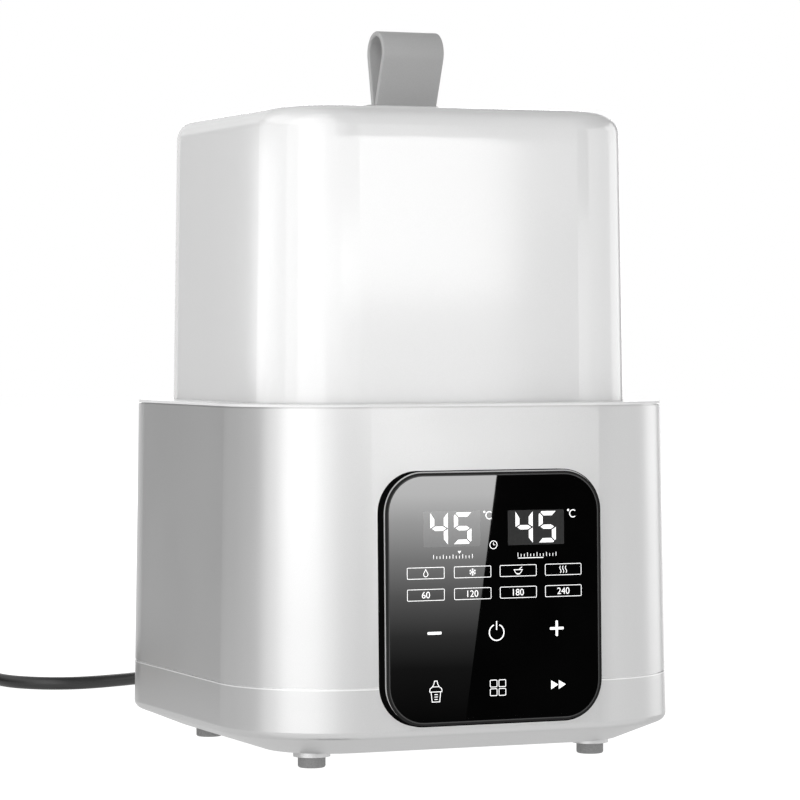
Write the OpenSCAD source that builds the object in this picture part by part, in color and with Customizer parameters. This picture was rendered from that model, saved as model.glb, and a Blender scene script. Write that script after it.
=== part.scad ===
// Baby bottle and food warmer: a square heated base with a touch panel, a lift-off frosted cover,
// a lift-out bottle basket and a mains lead. Millimetres, +Z up, the panel faces -Y, and the origin
// lies on the table under the middle of the base.

/* [Base] */
// Width of the base at its rim
base_w = 170; // [160:1:190]
// Depth of the base at its rim
base_d = 170; // [160:1:190]
// Corner radius of the base at its rim
base_corner_r = 40.5; // [37:0.5:42]
// How far the walls spread for each millimetre downwards
base_draft = 0.0176; // [0.005:0.0001:0.025]
// Wall thickness of the two outer shells
wall = 2.5; // [2:0.1:3]
// Height of the upper shell
shell_h = 98.9; // [94:0.1:110]
// Height of the lower shell's upright wall
tray_h = 17.3; // [16:0.1:22]
// Height of the sloped band under the lower shell's wall
bevel_h = 7.2; // [6:0.1:9]
// Width of the sloped band
bevel_in = 18; // [14:0.5:20]
// Round on the edge between the wall and the sloped band
bevel_r = 3; // [1:0.5:5]
// Thickness of the lower shell's floor
floor_t = 2.5; // [2:0.1:3.5]
// Height of the shadow gaps at the seams
reveal_h = 0.5; // [0.3:0.1:0.8]
// Depth of the shadow gaps
reveal_in = 1; // [0.6:0.1:1.2]
// Thickness of the lower shell's locating tongue
tongue_t = 1.2; // [1:0.1:1.6]
// Height of the tongue above the seam
tongue_h = 4; // [3:0.5:6]
// Clearance between pieces that slot together
fit_gap = 0.2; // [0.1:0.05:0.3]

/* [Feet] */
// Diameter of a rubber foot
foot_d = 10; // [8:0.5:12]
// Height of a foot below its boss
foot_h = 4; // [3:0.5:6]
// Depth of the pocket that a foot is glued into
foot_pocket = 1; // [0.5:0.1:1.5]
// Diameter of the pale boss round a foot
foot_boss_d = 13.5; // [13:0.5:16]
// Height of that boss under the floor
foot_boss_h = 2; // [1.5:0.1:3]
// Sideways place of the feet
foot_x = 55.5; // [52:0.5:58]
// Front to back place of the feet
foot_y = 54.7; // [52:0.1:58]

/* [Tank] */
// Height of the well's floor above the inside of the lower shell
well_lift = 30.4; // [29.5:0.1:34]
// Wall thickness of the well
tank_wall = 2.5; // [2:0.1:3]
// How far the well narrows for each millimetre downwards
well_draft = 0.012; // [0.005:0.001:0.02]
// Round at the bottom of the well
well_bottom_r = 6; // [3:0.5:8]
// Thickness of the deck's visible edge
deck_edge_t = 1; // [0.8:0.1:1.5]
// Thickness of the deck inside the shell
deck_t = 2.5; // [2:0.1:3.5]
// Height of the rib that locates the cover
rib_h = 3; // [2:0.5:5]
// Thickness of that rib
rib_t = 2.4; // [1.6:0.1:3]

/* [Heater] */
// Diameter of the heating plate that shows in the well
plate_d = 96; // [88:1:100]
// Sheet thickness of the heating plate
plate_t = 1.5; // [1.2:0.1:2]
// How far the plate stands above the well's floor
plate_rise = 0.6; // [0.3:0.1:1.5]
// Width of the plate's clamped flange
plate_flange = 7; // [6:0.5:8]
// Thickness of the rubber seal under the well's floor
seal_t = 1.5; // [1:0.1:2]
// Thickness of the ring that clamps the plate
clamp_t = 1.5; // [1.2:0.1:2]
// Diameter of the heater's tube
heater_d = 6.6; // [6:0.1:7]
// Radius of the heater's loop
heater_r = 33; // [31:1:36]
// Open angle of the loop between the terminals
heater_open = 60; // [40:5:90]

/* [Cover] */
// Width of the cover where it stands on the deck
cover_w = 144.2; // [138:0.1:150]
// Depth of the cover where it stands on the deck
cover_d = 144.2; // [138:0.1:150]
// Corner radius of the cover
cover_corner_r = 29.3; // [26:0.1:32]
// Height of the cover
cover_h = 107; // [100:0.5:120]
// Wall thickness of the cover
cover_wall = 3; // [2.5:0.1:3.5]
// How far the cover narrows for each millimetre upwards
cover_draft = 0.0155; // [0.005:0.0001:0.02]
// Round on the cover's top edge
cover_edge_r = 7.5; // [4:0.5:9]
// Clearance between the cover and the deck's rib
cover_gap = 0.7; // [0.5:0.1:1]

/* [Strap] */
// Width of the lift strap
strap_w = 25; // [18:0.5:30]
// Thickness of the strap
strap_t = 2; // [1.5:0.1:2.5]
// Sideways place of the strap on the cover
strap_x = 3.9; // [-5:0.1:5]
// Height of the strap above the cover
strap_h = 32.2; // [28:0.1:40]
// Radius of the loop's round top
strap_loop_r = 8.2; // [6:0.1:9]
// How far the loop leans to the front
strap_lean = 1.8; // [0:0.1:3]
// Spread of the strap's foot under the cover
strap_foot = 5; // [4:0.5:7]

/* [Panel] */
// Width of the touch panel
panel_w = 85; // [78:0.5:87]
// Height of the touch panel
panel_h = 90.5; // [88:0.5:93]
// Corner radius of the panel
panel_corner_r = 15; // [13:0.5:18]
// Height of the panel's middle above the wall's lower edge
panel_up = 48.7; // [47.5:0.1:53]
// How far the panel stands out of the wall
panel_proud = 5.2; // [4.5:0.1:6]
// Width of the bezel round the glass
bezel_band = 2; // [1.5:0.1:2.5]
// Round on the bezel's outer edge
bezel_edge_r = 0.6; // [0.3:0.1:1]
// How far the bezel laps over the shells
bezel_lap = 3.5; // [3:0.1:4]
// Depth of the bezel's frame behind the wall
frame_depth = 6; // [5:0.5:7]
// Wall thickness of the bezel's frame
frame_wall = 1.8; // [1.5:0.1:2.5]
// Thickness of the glass
glass_t = 3; // [2.5:0.1:3.5]
// Chamfer on the glass's edge
glass_chamfer = 0.4; // [0.2:0.1:0.6]

/* [Electronics] */
// Thickness of the circuit boards
board_t = 1.6; // [1.2:0.1:2]
// Width of a two-digit display
display_w = 23; // [20:0.5:25]
// Height of a two-digit display
display_h = 14; // [12:0.5:16]
// Diameter of a touch pad
pad_d = 9; // [7:0.5:10]
// Width of the power board
power_w = 96; // [94:1:100]
// Depth of the power board
power_d = 40; // [38:1:42]
// Clear height of the power board above the floor
power_lift = 5.5; // [5:0.5:7]
// Width of the cable from the display to the power board
cable_w = 12; // [8:1:16]

/* [Basket] */
// Clearance between the basket and the well
basket_gap = 4; // [3:0.5:6]
// Height of the basket above its floor
basket_h = 62; // [50:1:70]
// Wall thickness of the basket
basket_wall = 2; // [1.6:0.1:2.5]
// Height of the basket's feet
basket_foot_h = 7; // [5:0.5:10]

/* [Lead] */
// Diameter of the mains lead
lead_d = 5.6; // [5:0.1:6]
// Sideways place of the lead on the rear wall
lead_x = 35; // [28:1:36]
// Height of the lead above the wall's lower edge where it leaves
lead_up = 8.8; // [8.3:0.1:9.3]
// Length of the strain relief
relief_len = 26; // [20:1:40]
// Thickness of the grommet's flange
grommet_t = 2.5; // [2:0.1:3]
// Radius of the coil's outer turn
coil_r = 37.4; // [34:0.1:40]
// Turns in each of the coil's two layers
coil_turns = 1.5; // [1.5:1:2.5]
// Gap between the coil's turns
coil_gap = 0.7; // [0.5:0.1:1]
// Thickness of the tie round the coil
tie_t = 0.8; // [0.6:0.1:1]
// Width of the tie
tie_w = 8; // [5:0.5:12]

/* [Plug] */
// Width of the plug's body
plug_w = 26; // [24:1:30]
// Length of the plug's body
plug_len = 24; // [20:1:30]
// Length of the plug's sleeve
sleeve_len = 26; // [24:1:32]
// Distance between the blades
blade_pitch = 12.7; // [12.7:0.1:13]

/* [Hidden] */
$fn = 64;
tiny = 0.01;
over = 2;

// Heights from the table up
floor_z = foot_h + foot_boss_h;
edge_z = floor_z + bevel_h;
seam_z = edge_z + tray_h;
shell_z = seam_z + reveal_h;
rim_z = shell_z + shell_h;
deck_z = rim_z + deck_edge_t;
cover_top = deck_z + cover_h;
inner_floor_z = floor_z + floor_t;
well_floor_z = inner_floor_z + well_lift;
tank_under_z = well_floor_z - tank_wall;
panel_z = edge_z + panel_up;
lead_z = edge_z + lead_up;

// Distances from the middle to the corner centres
base_run = [base_w / 2 - base_corner_r, base_d / 2 - base_corner_r];
cover_run = [cover_w / 2 - cover_corner_r, cover_d / 2 - cover_corner_r];
panel_run = [panel_w / 2 - panel_corner_r, panel_h / 2 - panel_corner_r];

// Radius of the outer wall's corner at a height, and the wall's distance from the middle
function out_r(z) = base_corner_r + base_draft * (deck_z - z);
function wall_y(z) = base_run.y + out_r(z);
tilt = atan(base_draft);

// Cover, rib and well lie inside each other
rib_r = cover_corner_r - cover_wall - cover_gap;
well_r = rib_r - rib_t;
function well_r_at(z) = well_r - well_draft * (deck_z - z);

// Case screws run from the lower shell up into the tank's posts
screw_d = 3.4;
screw_hole_d = screw_d + 2 * fit_gap;
screw_pilot_d = screw_d + fit_gap / 2;
screw_head_d = 7;
screw_head_h = 2.6;
screw_head_gap = 0.6;
screw_len = 20;
screw_at = [61, 28];
post_d = 8;
lower_post_d = post_d + 2;
post_z = inner_floor_z + 7.5;
head_z = floor_z + 5;

// Heating plate and what clamps it
plate_top = well_floor_z + plate_rise;
plate_under = plate_top - plate_t;
flange_top = tank_under_z - seal_t;
flange_r = plate_d / 2 + plate_flange;
clamp_screw_d = 2.8;
clamp_post_d = 6;
clamp_r = flange_r + clamp_post_d / 2 + 0.6;
clamp_z = flange_top - plate_t;
clamp_angles = [45, 135, 225, 315];
clamp_lap = 4;
clamp_rim = 1.5;
clamp_bite = 3.5;
clamp_pilot = 4;
clamp_head_h = 1.8;
heater_gap = 0.2;
heater_z = plate_under - heater_d / 2 - heater_gap;
heater_bend = 6;
terminal_len = 3;
pin_len = 4;
pin_d = 2.5;

// Temperature sensor and thermal cut-out under the plate
sensor_d = 5;
sensor_h = 9;
sensor_base = [7, 2];
cutout_d = 15.6;
cutout_h = 8;
cutout_ear = [22, 6.5, 2];
cutout_tab = [6, 0.8, 7];
cutout_tab_y = 4;
cutout_gap = 1.5;
cutout_x = cutout_gap + cutout_ear.x / 2 - heater_r + heater_d / 2;

// Panel parts, measured outwards from the wall
glass_z = panel_proud - glass_t;
glass_gap = 0.15;
board_z = -frame_depth;
board_size = [panel_w - 2 * bezel_lap, panel_h - 2 * bezel_lap];
frame_post_d = 6;
frame_post = [panel_run.x + 5.5, panel_run.y + 5.75];
small_screw_d = 2;
small_head_d = 4.4;
small_head_h = 1.6;
small_bite = 3.5;
small_pilot = 4.5;
hook = [0.9, 8, 2.4];
hook_y = 20;
pad_wall = 2;
buzzer_d = 12;
buzzer_h = 5;
buzzer_hole_d = 2.5;
buzzer_in = [20.5, 41.2];
buzzer_at = [panel_w / 2 - buzzer_in.x, panel_h / 2 - buzzer_in.y];
display_in = [26, 20.6];
display_at = [panel_w / 2 - display_in.x, panel_h / 2 - display_in.y];
key_in = [19, 12.8];
key_rise = 21;
key_x = panel_w / 2 - key_in.x;
key_y = key_in.y - panel_h / 2;
key_at = [for (y = [key_y, key_y + key_rise], x = [-key_x, 0, key_x]) [x, y]];

// Power board
power_z = inner_floor_z + power_lift;
power_post = [power_w / 2 - 4, power_d / 2 - 4];
board_post_d = 6;
power_y = base_run.y + out_r(edge_z) - bevel_in - power_post.y - board_post_d / 2 - 1;
part_y = power_y + power_d / 2 - 11;
part_z = power_z + board_t;
core = [18, 8, 14];
winding = [12, 16, 10];
core_x = 6;
relay_size = [19, 15.5, 14];
relay_x = -22;
capacitor = [7.5, 18, 12];
capacitor_x = -37.5;
terminal = [12, 10, 10];
wire_d = 2;
wire_x = 2.5;

// Flat cable between the two boards
cable_t = 0.8;
cable_gap = 0.2;
cable_drop = 12;
cable_lap = 6;

// Basket
basket_r = well_r_at(well_floor_z) - basket_gap;
basket_floor_z = well_floor_z + basket_foot_h;
basket_top = basket_floor_z + basket_h;
basket_rim_x = cover_run.x + basket_r;
basket_rim_y = cover_run.y + basket_r;
basket_window = [26, basket_h - 24];
basket_slot = [40, 4];
basket_slot_pitch = 18;
divider_h = 0.6 * basket_h;
basket_leg_d = 8;
basket_leg = [basket_rim_x - 9, cover_run.y - 4];

// Mains lead: the grommet sits on the rear wall, and the route starts at the strain relief's tip
grommet_r = 7.5;
grommet_hole_r = 6;
grommet_neck = wall + 2;
relief_root_r = 4.8;
relief_tip_r = lead_d / 2 + 0.8;
relief_groove_w = 1.6;
relief_groove_pitch = 4;
rear_y = wall_y(lead_z - grommet_r);
lead_start = [lead_x, rear_y + grommet_t + relief_len];
lead_low = lead_d / 2;
coil_lift = tie_t + 0.1;
coil_low = lead_low + coil_lift;

// Route of the lead: sideways and backward steps from the strain relief's tip, height above the table
route = [
    [0, 0, lead_z], [0, 12, lead_z - 0.4], [0, 26, 19], [0, 40, 14], [0, 54, 8.6], [0, 68, 4.6],
    [0, 82, 3.1], [0, 96, 2.85], [0, 110, lead_low], [-2, 124, lead_low], [-8, 137, lead_low],
    [-19, 146, lead_low], [-33, 150, lead_low], [-47, 147, lead_low], [-60, 141, lead_low],
    [-73, 136, lead_low], [-84, 134.5, lead_low], [-94, 137.5, lead_low], [-102, 144.5, lead_low],
    [-107.5, 154, 2.85], [-110.5, 165, 3.1], [-112, 176, coil_low], [-112, 187, coil_low]
];
lead_points = [for (p = route) [lead_start.x + p.x, lead_start.y + p.y, p.z]];
lead_end = lead_points[len(lead_points) - 1];

// Coil: in along the lower layer, up in half a turn, and out again along the upper layer
coil_pitch = lead_d + coil_gap;
coil_centre = [lead_end.x - coil_r, lead_end.y + lead_d];
coil_total = 2 * coil_turns + 0.5;
function coil_radius(t) = coil_r - coil_pitch * min(t, coil_total - t);
function ease(s) = s * s * (3 - 2 * s);
function coil_height(t) = coil_low + coil_pitch * ease(max(0, min(1, 2 * (t - coil_turns))));
function coil_point(t) = [
    coil_centre.x + coil_radius(t) * cos(360 * t),
    coil_centre.y + coil_radius(t) * sin(360 * t),
    coil_height(t)
];
function coil_points(steps) = [for (i = [0 : round(coil_total * steps)]) coil_point(i / steps)];
coil_exit = coil_point(coil_total);
plug_start = [coil_exit.x, coil_exit.y - lead_d, coil_exit.z];
coil_path = concat([lead_end], coil_points(24), [plug_start]);
plug_h = 2 * plug_start.z;

// Least gap between turns, measured on fine points at least a third of a turn apart
gap_steps = 72;
gap_points = coil_points(gap_steps);
coil_least_gap = min([
    for (i = [0 : len(gap_points) - 1], j = [i + gap_steps / 3 : 1 : len(gap_points) - 1])
        norm(gap_points[i] - gap_points[j])
]) - lead_d;

function path_length(p) = len(p) < 2 ? 0 : sum_steps(p, 1, 0);
function sum_steps(p, i, s) = i == len(p) ? s : sum_steps(p, i + 1, s + norm(p[i] - p[i - 1]));

// Smooth curve through points, in a few steps between each pair
function curve_at(p, i, t) =
    let (a = p[max(i - 1, 0)], b = p[i], c = p[i + 1], d = p[min(i + 2, len(p) - 1)])
    b + t / 2 * (c - a + t * (2 * a - 5 * b + 4 * c - d + t * (3 * b - a - 3 * c + d)));
function smooth(p, steps) = concat(
    [for (i = [0 : len(p) - 2], k = [0 : steps - 1]) curve_at(p, i, k / steps)], [p[len(p) - 1]]
);
lead_path = smooth(lead_points, 3);
lead_length = path_length(smooth(lead_points, 8)) + path_length(coil_path);
echo(coil_least_gap = coil_least_gap, lead_length = lead_length);

// Direction of a path at a point; both ends run along Y, square to what they meet
function heading(p, i) = let (n = len(p) - 1, step = p[min(i + 1, n)] - p[max(i - 1, 0)])
    unit(i == 0 || i == n ? [0, step.y, 0] : step);
function unit(v) = v / norm(v);

// What a round of radius r takes off a profile's corner v between its neighbours a and b,
// drawn a little past the profile so that the cut is clean
module corner_waste(v, a, b, r) {
    u = unit(a - v);
    w = unit(b - v);
    half = acos(u * w) / 2;
    reach = r / tan(half);
    centre = v + unit(u + w) * r / sin(half);
    past = 1.25;
    difference() {
        polygon([for (p = [v, v + u * reach, centre, v + w * reach]) centre + past * (p - centre)]);
        translate(centre)
            circle(r);
    }
}

// Sweeps a wall profile round a rounded rectangle; the profile's x starts at the corner centres
module sweep_round(run) {
    for (c = [[1, 1, 0], [-1, 1, 90], [-1, -1, 180], [1, -1, 270]])
        translate([c.x * run.x, c.y * run.y, 0])
            rotate(c.z) {
                rotate_extrude(angle = 90)
                    children();
                rotate([90, 0, 0])
                    linear_extrude(2 * (c.z % 180 == 0 ? run.y : run.x))
                        children();
            }
}

// The same for a filled profile, with the block between the corner centres
module round_block(run, low, high) {
    sweep_round(run)
        children();
    translate([-run.x, -run.y, low])
        cube([2 * run.x, 2 * run.y, high - low]);
}

module round_rect(size, r) {
    square([size.x - 2 * r, size.y], center = true);
    square([size.x, size.y - 2 * r], center = true);
    for (x = [-1, 1], y = [-1, 1])
        translate([x * (size.x / 2 - r), y * (size.y / 2 - r)])
            circle(r);
}

module at_corners(at) {
    for (x = [-1, 1], y = [-1, 1])
        translate([x * at.x, y * at.y, 0])
            children();
}

// Frame of the leaning front wall: x to the right, y up the wall, z outwards
module on_front() {
    translate([0, -wall_y(panel_z), panel_z])
        rotate([90 - tilt, 0, 0])
            children();
}

// Opening in both shells that the bezel's frame passes through
module panel_opening() {
    on_front()
        translate([0, 0, -frame_depth - over])
            linear_extrude(frame_depth + panel_proud + 2 * over)
                round_rect(board_size + 2 * [fit_gap, fit_gap], panel_corner_r - bezel_lap + fit_gap);
}

module body_shell() {
    top = rim_z - reveal_h;
    color("silver")
        difference() {
            sweep_round(base_run)
                polygon([
                    [out_r(shell_z) - wall, shell_z], [out_r(shell_z), shell_z], [out_r(top), top],
                    [out_r(top) - reveal_in, top], [out_r(top) - reveal_in, rim_z],
                    [out_r(rim_z) - wall, rim_z]
                ]);
            panel_opening();
        }
}

// Outline of the lower shell: floor, sloped band, wall, seam step and tongue
module tray_profile() {
    foot = [out_r(edge_z) - bevel_in, floor_z];
    edge = [out_r(edge_z), edge_z];
    lip = [out_r(seam_z), seam_z];
    slope = bevel_h / bevel_in;
    rise = floor_t * sqrt(1 + slope * slope);
    inner_x = out_r(shell_z) - wall;
    inner_edge_z = edge_z + rise - wall * slope;
    tongue_x = inner_x - fit_gap;
    difference() {
        polygon([
            [0, floor_z], foot, edge, lip, [lip.x - reveal_in, seam_z], [lip.x - reveal_in, shell_z],
            [tongue_x, shell_z], [tongue_x, shell_z + tongue_h],
            [tongue_x - tongue_t, shell_z + tongue_h], [tongue_x - tongue_t, seam_z - 3],
            [inner_x, seam_z - 6], [out_r(inner_edge_z) - wall, inner_edge_z],
            [foot.x + (floor_t - rise) / slope, inner_floor_z], [0, inner_floor_z]
        ]);
        corner_waste(edge, foot, lip, bevel_r);
    }
}

module bottom_cover() {
    vent = [2.5, 26];
    vent_pitch = 8;
    vent_y = -5;
    color("silver")
        difference() {
            union() {
                round_block(base_run, floor_z, inner_floor_z)
                    tray_profile();
                at_corners([foot_x, foot_y])
                    translate([0, 0, foot_h])
                        cylinder(d = foot_boss_d, h = foot_boss_h + tiny);
                at_corners(screw_at)
                    translate([0, 0, inner_floor_z - tiny])
                        cylinder(d = lower_post_d, h = post_z - inner_floor_z + tiny);
                translate([0, power_y, inner_floor_z - tiny])
                    at_corners(power_post)
                        cylinder(d = board_post_d, h = power_lift + tiny);
            }
            at_corners([foot_x, foot_y])
                translate([0, 0, foot_h - tiny])
                    cylinder(d = foot_d + fit_gap, h = foot_pocket + tiny);
            at_corners(screw_at) {
                translate([0, 0, floor_z - over])
                    cylinder(d = screw_head_d + screw_head_gap, h = head_z - floor_z + over);
                cylinder(d = screw_hole_d, h = post_z + over);
            }
            translate([0, power_y, power_z - small_pilot])
                at_corners(power_post)
                    cylinder(d = small_screw_d + fit_gap, h = small_pilot + over);
            for (i = [-3 : 3])
                translate([vent_pitch * i, vent_y, floor_z - over])
                    linear_extrude(floor_t + 2 * over)
                        round_rect(vent, vent.x / 2 - tiny);
            panel_opening();
            translate([lead_x, 0, lead_z])
                rotate([-90, 0, 0])
                    cylinder(r = grommet_hole_r + fit_gap, h = base_d);
        }
}

// Filled outline of the well, grown by a wall
module well_profile(grow, low, high, bottom_r) {
    corner = [well_r_at(low) + grow, low];
    top = [well_r_at(high) + grow, high];
    difference() {
        polygon([[0, low], corner, top, [0, high]]);
        corner_waste(corner, [0, low], top, bottom_r);
    }
}

module tank() {
    deck_r = out_r(rim_z);
    inside_r = deck_r - wall - fit_gap;
    deck_low = deck_z - deck_t;
    rib_top = deck_z + rib_h;
    rib_draft = 0.3;
    color("whitesmoke")
        difference() {
            union() {
                round_block(base_run, deck_low, deck_z)
                    difference() {
                        polygon([
                            [0, deck_low], [inside_r, deck_low], [inside_r, rim_z], [deck_r, rim_z],
                            [deck_r, deck_z], [0, deck_z]
                        ]);
                        corner_waste([deck_r, deck_z], [deck_r, rim_z], [0, deck_z], 0.6 * deck_edge_t);
                    }
                round_block(cover_run, deck_z - tiny, rib_top)
                    polygon([
                        [0, deck_z - tiny], [rib_r, deck_z - tiny], [rib_r - rib_draft, rib_top], [0, rib_top]
                    ]);
                round_block(cover_run, tank_under_z, deck_z - tiny)
                    well_profile(tank_wall, tank_under_z, deck_z - tiny, well_bottom_r + tank_wall);
                at_corners(screw_at)
                    translate([0, 0, post_z])
                        cylinder(d = post_d, h = well_floor_z + well_bottom_r - post_z);
                for (a = clamp_angles)
                    rotate(a)
                        translate([clamp_r, 0, clamp_z])
                            cylinder(d = clamp_post_d, h = tank_under_z - clamp_z + tiny);
            }
            round_block(cover_run, well_floor_z, rib_top + over)
                well_profile(0, well_floor_z, rib_top + over, well_bottom_r);
            translate([0, 0, tank_under_z - over])
                cylinder(d = plate_d, h = tank_wall + 2 * over);
            at_corners(screw_at)
                translate([0, 0, post_z - over])
                    cylinder(d = screw_pilot_d, h = screw_len - (post_z - head_z) + 1 + over);
            for (a = clamp_angles)
                rotate(a)
                    translate([clamp_r, 0, clamp_z - over])
                        cylinder(d = clamp_screw_d + fit_gap, h = clamp_pilot + over);
        }
}

// Pressed sheet with a raised middle and a flat flange
module heating_plate() {
    r = plate_d / 2 - fit_gap;
    color("gainsboro")
        rotate_extrude()
            difference() {
                polygon([
                    [0, plate_under], [r - plate_t, plate_under], [r - plate_t, clamp_z],
                    [flange_r, clamp_z], [flange_r, flange_top], [r, flange_top], [r, plate_top],
                    [0, plate_top]
                ]);
                corner_waste([r, plate_top], [r, flange_top], [0, plate_top], plate_t);
            }
}

module plate_seal() {
    inner_r = plate_d / 2 + fit_gap;
    color("dimgray")
        rotate_extrude()
            translate([inner_r, flange_top])
                square([flange_r - inner_r, seal_t]);
}

module plate_clamp() {
    color("lightsteelblue")
        translate([0, 0, clamp_z - clamp_t])
            difference() {
                union() {
                    cylinder(r = flange_r + clamp_rim, h = clamp_t);
                    for (a = clamp_angles)
                        rotate(a)
                            translate([clamp_r, 0, 0])
                                cylinder(d = clamp_post_d + 1, h = clamp_t);
                }
                translate([0, 0, -over])
                    cylinder(r = flange_r - clamp_lap, h = clamp_t + 2 * over);
                for (a = clamp_angles)
                    rotate(a)
                        translate([clamp_r, 0, -over])
                            cylinder(d = clamp_screw_d + fit_gap, h = clamp_t + 2 * over);
            }
}

// Pan-head screw pointing up, with its bearing face at the origin
module screw_up(d, len, head_d, head_h) {
    translate([0, 0, -head_h])
        cylinder(d = head_d, h = head_h);
    cylinder(d = d, h = len);
}

module clamp_screws() {
    color("silver")
        for (a = clamp_angles)
            rotate(a)
                translate([clamp_r, 0, clamp_z - clamp_t])
                    screw_up(clamp_screw_d, clamp_t + clamp_bite, clamp_post_d - 0.5, clamp_head_h);
}

// Bent tube under the plate, with a terminal at each end
module heater_tube() {
    color("slategray")
        translate([0, 0, heater_z]) {
            rotate([0, 0, heater_open / 2])
                rotate_extrude(angle = 360 - heater_open)
                    translate([heater_r, 0])
                        circle(d = heater_d);
            for (m = [0, 1])
                mirror([0, m, 0])
                    rotate(heater_open / 2)
                        translate([heater_r, 0, -heater_bend]) {
                            rotate([180, -90, 0])
                                rotate_extrude(angle = 90)
                                    translate([heater_bend, 0])
                                        circle(d = heater_d);
                            translate([0, -heater_bend, -terminal_len])
                                cylinder(d = heater_d, h = terminal_len);
                            translate([0, -heater_bend, -terminal_len - pin_len])
                                cylinder(d = pin_d, h = pin_len + tiny);
                        }
        }
}

module temperature_sensor() {
    color("darkorange")
        translate([0, 0, plate_under - sensor_h]) {
            cylinder(d = sensor_d, h = sensor_h);
            cylinder(d = sensor_base[0], h = sensor_base[1]);
        }
}

module thermal_cutout() {
    color("black")
        translate([cutout_x, 0, plate_under - cutout_h]) {
            cylinder(d = cutout_d, h = cutout_h);
            translate([0, 0, cutout_h - cutout_ear.z])
                linear_extrude(cutout_ear.z)
                    round_rect([cutout_ear.x, cutout_ear.y], cutout_ear.y / 2 - tiny);
            for (y = [-1, 1])
                translate([0, y * cutout_tab_y, tiny - cutout_tab.z / 2])
                    cube(cutout_tab, center = true);
        }
}

// Raised frame round the glass, with a deeper frame behind the wall that carries the display board
module panel_bezel() {
    outer = panel_corner_r;
    edge = [outer, panel_proud];
    seat = panel_corner_r - bezel_band + glass_gap;
    frame = panel_corner_r - bezel_lap;
    inner = frame - frame_wall;
    color("black")
        on_front()
            difference() {
                union() {
                    sweep_round(panel_run)
                        difference() {
                            polygon([
                                [frame, board_z], [frame, 0], [outer, 0], edge,
                                [seat, panel_proud], [seat, glass_z], [inner, glass_z], [inner, board_z]
                            ]);
                            corner_waste(edge, [outer, 0], [seat, panel_proud], bezel_edge_r);
                        }
                    at_corners(frame_post)
                        translate([0, 0, board_z])
                            cylinder(d = frame_post_d, h = glass_z - board_z);
                    for (m = [0, 1], y = [-hook_y, hook_y])
                        mirror([m, 0, 0])
                            translate([panel_run.x + frame - tiny, y - hook.y / 2, -wall - fit_gap])
                                rotate([-90, 0, 0])
                                    linear_extrude(hook.y)
                                        polygon([[0, 0], [hook.x, 0], [0, hook.z]]);
                }
                at_corners(frame_post)
                    translate([0, 0, board_z - over])
                        cylinder(d = small_screw_d + fit_gap, h = small_pilot + over);
            }
}

module panel_glass() {
    r = panel_corner_r - bezel_band;
    color([0.03, 0.03, 0.035])
        on_front()
            round_block(panel_run, glass_z, panel_proud)
                polygon([
                    [0, glass_z], [r, glass_z], [r, panel_proud - glass_chamfer],
                    [r - glass_chamfer, panel_proud], [0, panel_proud]
                ]);
}

module display_board() {
    color("darkgreen")
        on_front()
            translate([0, 0, board_z - board_t])
                linear_extrude(board_t)
                    difference() {
                        round_rect(board_size, panel_corner_r - bezel_lap);
                        at_corners(frame_post)
                            circle(d = small_screw_d + 2 * fit_gap);
                    }
}

module two_digit_display(side) {
    color("gray")
        on_front()
            translate([side * display_at.x, display_at.y, board_z])
                linear_extrude(glass_z - board_z)
                    square([display_w, display_h], center = true);
}

module display_left() {
    two_digit_display(-1);
}

module display_right() {
    two_digit_display(1);
}

// Conductive pads that carry the touch of the six keys from the glass to the board
module touch_pads() {
    color("dimgray")
        on_front()
            for (k = key_at)
                translate([k.x, k.y, board_z])
                    difference() {
                        cylinder(d = pad_d, h = glass_z - board_z);
                        translate([0, 0, -over])
                            cylinder(d = pad_d - 2 * pad_wall, h = glass_z - board_z + 2 * over);
                    }
}

module buzzer() {
    color("black")
        on_front()
            translate([buzzer_at.x, buzzer_at.y, board_z - board_t - buzzer_h])
                difference() {
                    cylinder(d = buzzer_d, h = buzzer_h);
                    translate([0, 0, -over])
                        cylinder(d = buzzer_hole_d, h = over + buzzer_h / 2);
                }
}

module display_screws() {
    color("silver")
        on_front()
            at_corners(frame_post)
                translate([0, 0, board_z - board_t])
                    screw_up(small_screw_d, board_t + small_bite, small_head_d, small_head_h);
}

module power_board() {
    color("darkgreen")
        translate([0, power_y, power_z])
            linear_extrude(board_t)
                difference() {
                    square([power_w, power_d], center = true);
                    at_corners(power_post)
                        circle(d = small_screw_d + 2 * fit_gap);
                }
}

// Block with rounded upright edges that stands on the power board
module on_board(x, size, r) {
    translate([x, part_y, part_z])
        linear_extrude(size.z)
            round_rect([size.x, size.y], r);
}

module transformer() {
    color("goldenrod") {
        on_board(core_x, core, 0.5);
        on_board(core_x, winding, 3);
    }
}

module relay() {
    color("royalblue")
        on_board(relay_x, relay_size, 0.8);
}

module filter_capacitor() {
    color("gold")
        on_board(capacitor_x, capacitor, 1.5);
}

module terminal_block() {
    color("forestgreen")
        difference() {
            on_board(lead_x, terminal, 0.5);
            for (x = [-wire_x, wire_x])
                translate([lead_x + x, part_y, lead_z])
                    rotate([-90, 0, 0])
                        cylinder(d = wire_d + 2 * fit_gap, h = terminal.y);
        }
}

module power_screws() {
    color("silver")
        translate([0, power_y, power_z + board_t])
            at_corners(power_post)
                mirror([0, 0, 1])
                    screw_up(small_screw_d, board_t + small_bite, small_head_d, small_head_h);
}

// Flat cable from the back of the display board to the top of the power board
module display_cable() {
    front = frame_depth + board_t + cable_gap + tan(tilt) * cable_drop - wall_y(panel_z);
    rear = power_y - power_d / 2 + cable_lap;
    top = panel_z - cable_drop;
    color("lightgray")
        rotate([90, 0, 90])
            linear_extrude(cable_w, center = true)
                polygon([
                    [front, top], [front, part_z], [rear, part_z], [rear, part_z + cable_t],
                    [front + cable_t, part_z + cable_t], [front + cable_t, top]
                ]);
}

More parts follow.
